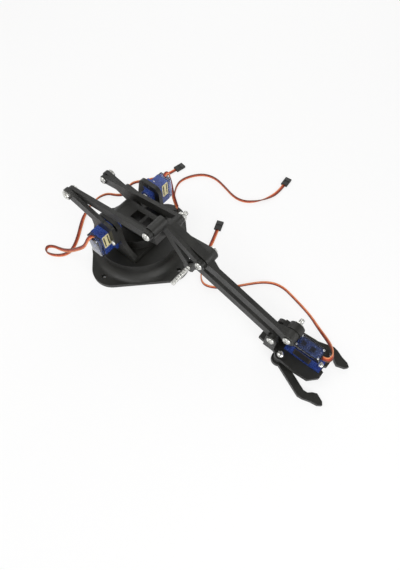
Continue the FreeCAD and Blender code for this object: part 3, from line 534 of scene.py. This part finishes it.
def screw_size(head_radius, head_height, radius, pitch):
    """Inputs of the screw's tree, from millimetres."""
    return {"HeadRadius": head_radius * MM, "HeadHeight": head_height * MM, "Radius": radius * MM,
            "Pitch": pitch * MM, "Finish": ZINC}


def nut_size(radius, height, bore):
    """Inputs of the nut's tree, from millimetres."""
    return {"Radius": radius * MM, "Height": height * MM, "Bore": bore * MM, "Finish": ZINC}


PIVOT_SCREW, PIVOT_NUT = screw_size(3.4, 2.2, 2.0, 0.7), nut_size(4.0, 2.4, 1.95)
BRACKET_SCREW = screw_size(2.7, 1.8, 1.25, 0.875)
FINGER_SCREW, FINGER_NUT = screw_size(3.0, 2.2, 1.5, 1.05), nut_size(2.75, 1.4, 1.45)
EAR_SCREW, WIDE_EAR_SCREW = screw_size(2.0, 1.4, 1.0, 0.7), screw_size(2.3, 1.4, 1.0, 0.7)
EAR_SCREW_LENGTH = 6.0 * MM
TRAY_SCREW = screw_size(0.95, 0.45, 0.5, 0.4)
TRAY_SCREW_LENGTH = 3.0 * MM


def lying(tilt, spin):
    """Turn of a fastener: spun about its own axis, then tilted about X."""
    return tuple((Matrix.Rotation(tilt, 3, "X") @ Matrix.Rotation(spin, 3, "Z")).to_euler())


# Turns of fasteners, by the side that their heads face
FACING = {"near": lying(math.pi / 2, 0.4), "far": lying(-math.pi / 2, 0.7), "up": lying(0, 0.5),
          "down": lying(math.pi, 0.3)}


def fastener_set(node, meshes):
    """Screws and nuts in place of a node."""
    stand_in(node + "_set", shade(merged(node + "_set", meshes)), node, "zinc", ZINC)


def pivot_bolt(node, head, tail=None):
    """Bolt across the arm with its head on one side, and its nut that far from the tip in millimetres."""
    low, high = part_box(node)
    x, z = (low.x + high.x) / 2, (low.z + high.z) / 2
    rise = PIVOT_SCREW["HeadHeight"]
    under = low.y + rise if head == "near" else high.y - rise
    length = high.y - low.y - rise
    meshes = [grown(node + "_screw", PAN_SCREW, [(x, under, z)], Length=length, Turn=FACING[head],
                    **PIVOT_SCREW)]
    if tail is not None:
        seat = high.y - tail * MM - PIVOT_NUT["Height"] if head == "near" else low.y + tail * MM
        meshes.append(grown(node + "_nut", HEX_NUT, [(x, seat, z)], Turn=FACING["far"], **PIVOT_NUT))
    fastener_set(node, meshes)


def bracket_screw_set():
    """Two screws through the bracket's legs, heads on the near side."""
    low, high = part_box("bracket_screws")
    under = low.y + BRACKET_SCREW["HeadHeight"]
    inset = BRACKET_SCREW["HeadRadius"]
    points = [(x, under, (low.z + high.z) / 2) for x in (low.x + inset, high.x - inset)]
    screws = grown("bracket_screw", PAN_SCREW, points, Length=high.y - under, Turn=FACING["near"],
                   **BRACKET_SCREW)
    fastener_set("bracket_screws", [screws])


def finger_bolt_set():
    """The upright bolts of the two fingers, with their sunk nuts."""
    low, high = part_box("finger_bolts")
    under = high.z - FINGER_SCREW["HeadHeight"]
    inset = FINGER_SCREW["HeadRadius"]
    spots = [((low.x + high.x) / 2, y) for y in (low.y + inset, high.y - inset)]
    screws = grown("finger_screw", PAN_SCREW, [(*spot, under) for spot in spots], Length=under - low.z,
                   Turn=FACING["up"], **FINGER_SCREW)
    nuts = grown("finger_nut", HEX_NUT, [(*spot, low.z) for spot in spots], Turn=FACING["up"], **FINGER_NUT)
    fastener_set("finger_bolts", [screws, nuts])


for bolt_node, bolt_head, bolt_tail in (
    ("level_anchor_bolt", "far", 1.0), ("triangle_bolt", "near", None), ("lever_bolt", "near", 1.0),
    ("forearm_bolt", "near", 4.0), ("elbow_bolt", "near", 1.0), ("level_rod_bolt", "far", None),
    ("wrist_bolt", "near", 5.0), ("yoke_bolt", "near", 0.6),
):
    pivot_bolt(bolt_node, bolt_head, bolt_tail)
bracket_screw_set()
finger_bolt_set()


# Servos, each drawn in its own frame: millimetres from its underside on the axis of its shaft

class Servo(NamedTuple):
    """How one servo is turned, and how its screws sit."""
    axes: tuple  # its own X, Y and Z in the row frame
    tray_side: str  # side that the screw heads of its tray face
    ears: tuple  # where along it the ear screws are
    ear_side: str  # side that their heads face
    ear_level: float  # height under their heads
    ear_screw: dict


EARS = (-8.6, 19.2)
SERVOS = {
    "base": Servo(((1, 0, 0), (0, 1, 0), (0, 0, 1)), "down", EARS, "up", 18.4, EAR_SCREW),
    "shoulder": Servo(((0, 0, -1), (-1, 0, 0), (0, 1, 0)), "near", EARS[1:], "near", 15.9, EAR_SCREW),
    "elbow": Servo(((0, 0, -1), (1, 0, 0), (0, -1, 0)), "far", EARS, "far", 15.9, EAR_SCREW),
    "gripper": Servo(((-1, 0, 0), (0, 1, 0), (0, 0, -1)), "up", EARS, "up", 15.9, WIDE_EAR_SCREW),
}
CASE_LENGTH = (-6.1, 16.7)
CASE_HALF = 6.1
TRAY_HEIGHT, TRAY_WALL, TRAY_DEPTH = 4.2, 1.0, 3.2
TRAY_CORNER, TRAY_EDGE = 0.9, 0.4
TRAY_SEAT = 0.25  # height of the seat of its screws' heads
TRAY_SCREWS = [(x, y, TRAY_SEAT) for x in (-4.4, 15.0) for y in (-4.4, 4.4)]
BOARD_UNDER, BOARD_TOP, BOARD_EDGE = 2.6, 3.4, 0.12
# Lowest and highest corner of each block of the board, and its finish: 0 board, 1 chip, 2 solder
BOARD_BLOCKS = [((-4.8, -4.9, BOARD_UNDER), (15.4, 4.9, BOARD_TOP), 0),
                ((0.5, -2.2, 1.5), (4.7, 2.2, BOARD_UNDER), 1),
                ((8.5, -1.8, 1.6), (12.3, 2.0, BOARD_UNDER), 1)]
SPECKS = ((-1.6, 3.6), (0.6, -3.7), (2.4, 3.5), (5.6, -3.4), (6.3, 0.9), (6.5, -1.2), (7.3, 3.4), (9.4, -3.6),
          (11.2, 3.7), (13.4, -2.6), (13.8, 1.2), (14.2, 3.5))
PADS = ((-3.6, -2.0), (-3.6, 0.0), (-3.6, 2.0))
# Half length, half width and underside of the specks and of the wire pads
for spots, half_length, half_width, under in ((SPECKS, 0.55, 0.35, 2.0), (PADS, 0.7, 0.6, 2.1)):
    BOARD_BLOCKS += [((x - half_length, y - half_width, under),
                      (x + half_length, y + half_width, BOARD_UNDER), 2) for x, y in spots]
STICKER_SUNK, STICKER_PROUD, STICKER_CORNER = 0.05, 0.08, 0.8
# Side of the case that each sticker is on, where it lies along and up the case, and its finish
STICKERS = {
    "shoulder": (-1, (-5.6, 8.8), (5.2, 12.2), GOLD),
    "elbow": (1, (-5.6, 8.8), (5.2, 12.2), GOLD),
    "gripper": (-1, (-1.5, 14.0), (5.0, 15.4), DARK_STICKER),
}


def servo_frame(name):
    """Matrix from a servo's own frame to the row frame."""
    low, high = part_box(name + "_servo_cover")
    turn = Matrix(SERVOS[name].axes).transposed()
    middle = Vector((sum(CASE_LENGTH) / 2, 0, TRAY_HEIGHT / 2)) * MM
    place = turn.to_4x4()
    place.translation = (low + high) / 2 - turn @ middle
    return place


def servo_tray(name, place):
    """Hollow see-through tray that closes a servo's underside."""
    shape = bmesh.new()
    block(shape, (CASE_LENGTH[0], -CASE_HALF, 0), (CASE_LENGTH[1], CASE_HALF, TRAY_HEIGHT))
    softened(shape, edges_along(shape, 2), TRAY_CORNER, 4)
    underside = [edge for edge in shape.edges if all(vert.co.z < NEARLY for vert in edge.verts)]
    softened(shape, underside, TRAY_EDGE, 3)
    top = max(shape.faces, key=lambda face: face.calc_center_median().z)
    bmesh.ops.inset_region(shape, faces=[top], thickness=TRAY_WALL * MM)
    sunk = bmesh.ops.extrude_discrete_faces(shape, faces=[top])["faces"][0]
    bmesh.ops.translate(shape, verts=sunk.verts, vec=(0, 0, -TRAY_DEPTH * MM))
    bmesh.ops.transform(shape, matrix=place, verts=shape.verts)
    mesh = shade(plain_mesh(name + "_tray", shape))
    stand_in(name + "_tray", mesh, name + "_servo_cover", "servo_cover", PALE_SHELL)


def servo_board(name, place):
    """Board with its chips, specks and wire pads, seen through the tray."""
    shape = bmesh.new()
    for low, high, finish in BOARD_BLOCKS:
        for face in block(shape, low, high):
            face.material_index = finish
    softened(shape, shape.edges[:], BOARD_EDGE, 2)
    bmesh.ops.transform(shape, matrix=place, verts=shape.verts)
    mesh = plain_mesh(name + "_board", shape)
    piece(name + "_board", mesh, BODY_OF[name + "_servo_cover"], "servo_cover", BOARD, CHIP, SOLDER)


def ear_screws(name, place):
    """The screws through a servo's ears."""
    servo = SERVOS[name]
    node = name + "_servo_screws"
    points = [place @ (Vector((x, 0, servo.ear_level)) * MM) for x in servo.ears]
    screws = grown(node, PAN_SCREW, points, Length=EAR_SCREW_LENGTH, Turn=FACING[servo.ear_side],
                   **servo.ear_screw)
    fastener_set(node, [screws])


def tray_screws(name, place):
    """The small screws in the corners of a servo's tray."""
    points = [place @ (Vector(spot) * MM) for spot in TRAY_SCREWS]
    screws = grown(name + "_tray_screw", PAN_SCREW, points, Length=TRAY_SCREW_LENGTH,
                   Turn=FACING[SERVOS[name].tray_side], **TRAY_SCREW)
    piece(name + "_tray_screws", shade(screws), BODY_OF[name + "_servo_cover"], "zinc")


def servo_sticker(name, side, along, height, finish):
    """Thin sticker with rounded corners on one long face of a servo's case."""
    shape = bmesh.new()
    low, high = sorted((side * (CASE_HALF - STICKER_SUNK), side * (CASE_HALF + STICKER_PROUD)))
    block(shape, (along[0], low, height[0]), (along[1], high, height[1]))
    softened(shape, edges_along(shape, 1), STICKER_CORNER, 4)
    layer = shape.loops.layers.uv.new("UVMap")
    for face in shape.faces:
        for loop in face.loops:
            spot = loop.vert.co / MM
            loop[layer].uv = ((spot.x - along[0]) / (along[1] - along[0]),
                              (spot.z - height[0]) / (height[1] - height[0]))
    bmesh.ops.transform(shape, matrix=servo_frame(name), verts=shape.verts)
    mesh = plain_mesh(name + "_sticker", shape)
    piece(name + "_sticker", mesh, BODY_OF[name + "_servo_case"], "servo_case", finish)


for servo_name in SERVOS:
    servo_place = servo_frame(servo_name)
    servo_tray(servo_name, servo_place)
    servo_board(servo_name, servo_place)
    ear_screws(servo_name, servo_place)
    tray_screws(servo_name, servo_place)
for servo_name, sticker in STICKERS.items():
    servo_sticker(servo_name, *sticker)


# Leads

# Control points in millimetres, from the servo to the plug: the ribbon stands on its edge on the floor
ROUTES = {
    "shoulder": [
        (-2.4, -42.8, 57.1), (-2.6, -44.6, 58.8), (-3.2, -47.8, 58), (-5, -49.8, 53), (-9, -51.4, 45.5),
        (-17, -53, 37), (-28, -54, 25.5), (-41, -54.6, 13.5), (-53, -55, 5.4), (-62, -55.7, 2.4),
        (-68, -60, 1.95), (-64, -65.2, 1.95), (-56, -63.5, 1.95), (-48, -57.5, 1.95), (-45.5, -49.5, 1.95),
        (-48.5, -41, 1.95), (-54.7, -31, 1.95), (-61.4, -22, 1.95), (-68, -12, 1.95), (-73.4, 2, 1.95),
        (-74.6, 15, 1.95), (-71, 24, 1.95), (-63.6, 27.4, 1.95), (-57, 32.5, 1.95), (-57.6, 40.2, 1.95),
        (-61, 46, 1.95), (-60.5, 53, 1.95), (-54, 60.5, 1.95), (-46, 71, 1.95), (-40.6, 84, 1.6),
        (-38.5, 95, 1.45),
    ],
    "elbow": [
        (-2, 42.8, 57.1), (-2, 44.6, 58.8), (-1.9, 47.8, 58), (-1.8, 49.4, 53), (-1.5, 49.6, 44.5),
        (-0.8, 49.6, 34), (0.4, 50.4, 22), (1.2, 52, 11), (0.6, 54.4, 4.6), (-5, 57.6, 2.0), (-13, 64, 1.95),
        (-20, 73.2, 1.95), (-24, 85, 1.95), (-19.5, 98, 1.95), (-10, 109, 1.95), (3, 112.5, 1.95),
        (18, 109, 1.95), (34, 104, 1.95), (46, 105.5, 1.95), (56, 114, 1.95), (63, 126, 1.95), (66, 139, 1.6),
        (65, 151, 1.45),
    ],
    "gripper": [
        (195.3, 0, 28), (199.8, 0, 28), (202, 6, 25.4), (200.5, 12.5, 20), (197.5, 18.5, 14), (193, 24, 8.6),
        (187, 28.8, 4.2), (178.5, 33.5, 2.0), (168, 38.5, 1.95), (156, 42, 1.95), (146, 44.5, 1.95),
        (135, 47, 1.95), (125, 45.5, 1.95), (116, 39.5, 1.95), (108, 30.5, 1.95), (100, 20.5, 1.95),
        (92, 12, 1.95), (83, 5.5, 1.95), (75.5, 3.5, 1.95), (69.5, 7, 1.95), (65, 14, 1.95), (60, 25, 1.95),
        (55, 37, 1.95), (51.5, 48, 1.6), (47, 60, 1.45),
    ],
}
# Way from the brown wire to the orange one where the ribbon leaves its servo
FIRST_SIDE = {"shoulder": (1, 0, 0), "elbow": (1, 0, 0), "gripper": (0, 1, 0)}
# Roll of the ribbon from lying flat, in degrees at some of the route's points: at 90 orange is on top
ROLLS = {
    "shoulder": ((5, -40), (8, -70), (11, -90), (14, -120), (17, -150), (20, -250), (22, -270), (27, -270),
                 (29, -360)),
    "elbow": ((7, -60), (10, -90), (19, -90), (21, 0)),
    "gripper": ((4, 125), (8, 95), (21, 90), (23, 180)),
}
LINE_ORDER, LINE_STEPS = 3, 6  # of the smooth line along a route
WIRES = (BROWN, RED, ORANGE)
WIRE = 0.6 * MM  # radius of one wire
WIRE_SIDES = 10
CORD_FLOOR = 3.0 * MM  # below this a lead lies on the floor
STEEP = 0.95  # above this slope a lead has no level side
# The plug, in millimetres from the end of its lead
PLUG_LENGTH, PLUG_HALF, PLUG_LEVELS, PLUG_EDGE = 11, 3.5, (0.15, 2.75), 0.4
PIN_GAP = 1.2  # from its middle to the walls between its pins
WINDOW = (3.2, 6.4)  # where the windows over the latches start and end
WINDOW_RIM, WINDOW_DEPTH = 0.35, 0.5
POCKET_RIM, POCKET_TAPER, POCKET_DEPTH = 0.4, 0.02, 4.0
SQUARE_ON = 0.99  # share of its normal along an axis, past which a face looks that way


def lead_line(name):
    """Points along the smooth line of a route."""
    curve = bpy.data.curves.new(name + "_line", "CURVE")
    curve.dimensions = "3D"
    spline = curve.splines.new("NURBS")
    route = ROUTES[name]
    spline.points.add(len(route) - 1)
    for point, place in zip(spline.points, route):
        point.co = (*(value * MM for value in place), 1)
    spline.order_u = LINE_ORDER
    spline.use_endpoint_u = True
    spline.resolution_u = LINE_STEPS
    mesh = evaluated_mesh(linked(name + "_line", curve))
    points = np.array([vertex.co for vertex in mesh.vertices])
    bpy.data.meshes.remove(mesh)
    apart = np.linalg.norm(np.diff(points, axis=0), axis=1)
    return points[np.concatenate(([True], apart > NEARLY))]


def ribbon_frames(name, points):
    """Sides and tangents of a ribbon: carried along from the servo, and rolled as its keys say."""
    tangents = np.gradient(points, axis=0)
    tangents /= np.linalg.norm(tangents, axis=1)[:, None]
    sides = np.zeros_like(points)
    side = np.array(FIRST_SIDE[name], float)
    for index, tangent in enumerate(tangents):
        side = side - tangent * (side @ tangent)
        side /= np.linalg.norm(side)
        sides[index] = side
    cross = np.cross(tangents, sides)
    level = np.cross((0, 0, 1), tangents)
    angle = np.arctan2((level * cross).sum(1), (level * sides).sum(1))
    first = np.argmax(np.abs(tangents[:, 2]) < STEEP)
    angle[:first] = angle[first]
    keys, rolls = zip(*ROLLS[name])
    steps = np.linspace(0, len(ROUTES[name]) - 1, len(points))
    turn = np.unwrap(angle) + np.interp(steps, keys, np.radians(rolls))
    down = np.argmax(points[:, 2] < CORD_FLOOR)
    turn -= 2 * math.pi * np.round(turn[down] / (2 * math.pi))
    share = np.clip(np.arange(len(points)) / down, 0, 1)
    turn *= share ** 2 * (3 - 2 * share)
    return sides * np.cos(turn)[:, None] + cross * np.sin(turn)[:, None], tangents


def lead_plug(name):
    """Flat black connector with a pocket for each pin at its end and a window over each latch."""
    shape = bmesh.new()
    block(shape, (0, -PLUG_HALF, PLUG_LEVELS[0]), (PLUG_LENGTH, PLUG_HALF, PLUG_LEVELS[1]))
    softened(shape, shape.edges[:], PLUG_EDGE, 3)
    cuts = [((0, y, 0), (0, 1, 0)) for y in (-PIN_GAP, PIN_GAP)] + [((x, 0, 0), (1, 0, 0)) for x in WINDOW]
    for spot, normal in cuts:
        bmesh.ops.bisect_plane(shape, geom=shape.verts[:] + shape.edges[:] + shape.faces[:],
                               plane_co=Vector(spot) * MM, plane_no=normal)
    shape.normal_update()
    windows = [face for face in shape.faces
               if face.normal.z > SQUARE_ON and WINDOW[0] < face.calc_center_median().x / MM < WINDOW[1]]
    pockets = [face for face in shape.faces if face.normal.x > SQUARE_ON]
    for faces, rim, depth in ((windows, WINDOW_RIM, WINDOW_DEPTH), (pockets, POCKET_RIM, 0),
                              (pockets, POCKET_TAPER, POCKET_DEPTH)):
        bmesh.ops.inset_individual(shape, faces=faces, thickness=rim * MM, depth=-depth * MM)
    end, before = Vector(ROUTES[name][-1]), Vector(ROUTES[name][-2])
    heading = math.atan2(end.y - before.y, end.x - before.x)
    place = Matrix.Translation((end.x * MM, end.y * MM, 0)) @ Matrix.Rotation(heading, 4, "Z")
    bmesh.ops.transform(shape, matrix=place, verts=shape.verts)
    mesh = shade(plain_mesh(name + "_connector", shape))
    return stand_in(name + "_connector", mesh, name + "_plug", "plug", PLUG)


def ribbon_lead(name):
    """Three wires side by side along the lead's line, brown, red and orange, and their connector."""
    points = lead_line(name)
    sides, tangents = ribbon_frames(name, points)
    ups = np.cross(tangents, sides)
    around = [2 * math.pi * step / WIRE_SIDES for step in range(WIRE_SIDES)]
    shape = bmesh.new()
    for wire in range(len(WIRES)):
        centres = points + sides * (wire - 1) * 2 * WIRE
        rings = [[shape.verts.new(centre + WIRE * (side * math.cos(angle) + up * math.sin(angle)))
                  for angle in around] for centre, side, up in zip(centres, sides, ups)]
        for ring, following in zip(rings, rings[1:]):
            for index in range(WIRE_SIDES):
                after = (index + 1) % WIRE_SIDES
                face = shape.faces.new((ring[index], ring[after], following[after], following[index]))
                face.material_index = wire
                face.smooth = True
        for end in (rings[0], rings[-1]):
            shape.faces.new(end).material_index = wire
    mesh = plain_mesh(name + "_ribbon", shape)
    made = stand_in(name + "_ribbon", mesh, name + "_lead", "lead", *WIRES)
    lead_plug(name)


for lead_name in ROUTES:
    ribbon_lead(lead_name)


# Finishes of the frame's own nodes

REPLACED = ("_lead", "_plug", "_cover", "_screws", "_bolts", "_bolt")
STANDING = ("base", "turntable", "claw", "near_finger", "far_finger", "pinion")


def node_finish(node):
    """The finish of a node that shows."""
    if node.endswith(("_servo_case", "_servo_lid")):
        return BLUE_SHELL
    if node.endswith(("_shaft", "_horn")):
        return NYLON
    return PRINT_STANDING if node in STANDING else PRINT_LYING


for node_name, node_object in NODES.items():
    if not node_name.endswith(REPLACED):
        node_object.data.materials.clear()
        node_object.data.materials.append(node_finish(node_name))


# Studio, in metres

FLOOR_HALF, FLOOR_LEVEL, WALL_TOP = 4, -0.0002, 2.4
GLOW = 0.8  # share of the floor's own light where it is seen or mirrored
# Under the riser and the four mounting holes the floor has no glow: radius, offset in X, offset in Y
DARK_UNDER = ((0.035, 0.0, 0.0), (0.006, 0.049, 0.0), (0.006, 0.0, 0.049))
AIR_COLOR, AIR_STRENGTH = (1.0, 0.995, 0.97, 1), 0.4
AIM = Vector((0.06, 0.02, 0.03))
# Place, size and power of each lamp
LAMPS = {
    "key_light": ((-0.25, -0.45, 0.9), 0.7, 4.8),
    "side_light": ((0.75, -0.25, 0.45), 0.5, 4.0),
    "back_light": ((-0.3, 0.7, 0.6), 0.6, 2.0),
}
SENSOR = 36  # millimetres
NEAREST = 0.01  # what is closer to the camera isn't drawn
FOCAL_PIXELS, PHOTO_HEIGHT = 403.54, 570
# Right, up and back of the camera
CAMERA_AXES = ((0.77087, 0.63698, -0.00387), (-0.55496, 0.67458, 0.48679), (0.31269, -0.37310, 0.87351))
CAMERA_PLACE = Vector((189.145, -136.784, 324.272)) * MM


def studio_white():
    """White that glows by itself only where it is seen or mirrored, so that it keeps the object's shadow."""
    finish = Finish("studio_white")
    finish.color((0.86, 0.86, 0.86))
    finish.roughness(0.9)
    rays = finish.node("ShaderNodeLightPath").outputs
    mirrored = finish.math("MAXIMUM", rays["Is Glossy Ray"], rays["Is Transmission Ray"])
    seen = finish.math("MAXIMUM", rays["Is Camera Ray"], mirrored)
    spot = finish.parts(finish.place)
    for radius, *offsets in DARK_UNDER:
        apart = [finish.math("SUBTRACT", finish.math("ABSOLUTE", spot[axis]), offset)
                 for axis, offset in zip("XY", offsets)]
        squares = [finish.math("MULTIPLY", length, length) for length in apart]
        beyond = finish.math("GREATER_THAN", finish.math("ADD", *squares), radius ** 2)
        seen = finish.math("MULTIPLY", seen, beyond)
    share = finish.node("ShaderNodeMixShader")
    glow = finish.node("ShaderNodeEmission")
    sources = finish.math("MULTIPLY", seen, GLOW), finish.shader.outputs[0], glow.outputs[0]
    for socket, source in zip(share.inputs, sources):
        finish.put(socket, source)
    finish.put(finish.tree.nodes["Material Output"].inputs["Surface"], share.outputs[0])
    return finish.material


def studio_floor():
    """White floor with low walls far away."""
    mesh = bpy.data.meshes.new("studio_floor")
    outline = [(FLOOR_HALF * x, FLOOR_HALF * y) for x, y in ((-1, -1), (1, -1), (1, 1), (-1, 1))]
    corners = [(*corner, level) for level in (FLOOR_LEVEL, WALL_TOP) for corner in outline]
    mesh.from_pydata(corners, [], [(0, 1, 2, 3), (0, 4, 5, 1), (1, 5, 6, 2), (2, 6, 7, 3), (3, 7, 4, 0)])
    mesh.materials.append(studio_white())
    floor = linked("studio_floor", mesh)


def studio_light():
    """Pale air and three soft lamps that point at the arm."""
    world = bpy.data.worlds.new("studio_air")
    world.use_nodes = True
    air = world.node_tree.nodes["Background"].inputs
    air["Color"].default_value = AIR_COLOR
    air["Strength"].default_value = AIR_STRENGTH
    bpy.context.scene.world = world

    for name, (place, size, power) in LAMPS.items():
        lamp = bpy.data.lights.new(name, "AREA")
        lamp.size = size
        lamp.energy = power
        holder = linked(name, lamp)
        holder.location = place
        holder.rotation_euler = (AIM - holder.location).to_track_quat("-Z", "Y").to_euler()


def photo_camera():
    """The camera that was fitted to the photograph."""
    lens = bpy.data.cameras.new("photo_camera")
    lens.sensor_width = SENSOR
    lens.lens = FOCAL_PIXELS / PHOTO_HEIGHT * SENSOR
    lens.clip_start = NEAREST
    camera = linked("photo_camera", lens)
    matrix = Matrix(CAMERA_AXES).transposed().to_4x4()
    matrix.translation = CAMERA_PLACE
    camera.matrix_world = matrix
    bpy.context.scene.camera = camera


studio_floor()
studio_light()
photo_camera()
bpy.context.scene.view_settings.view_transform = "Standard"
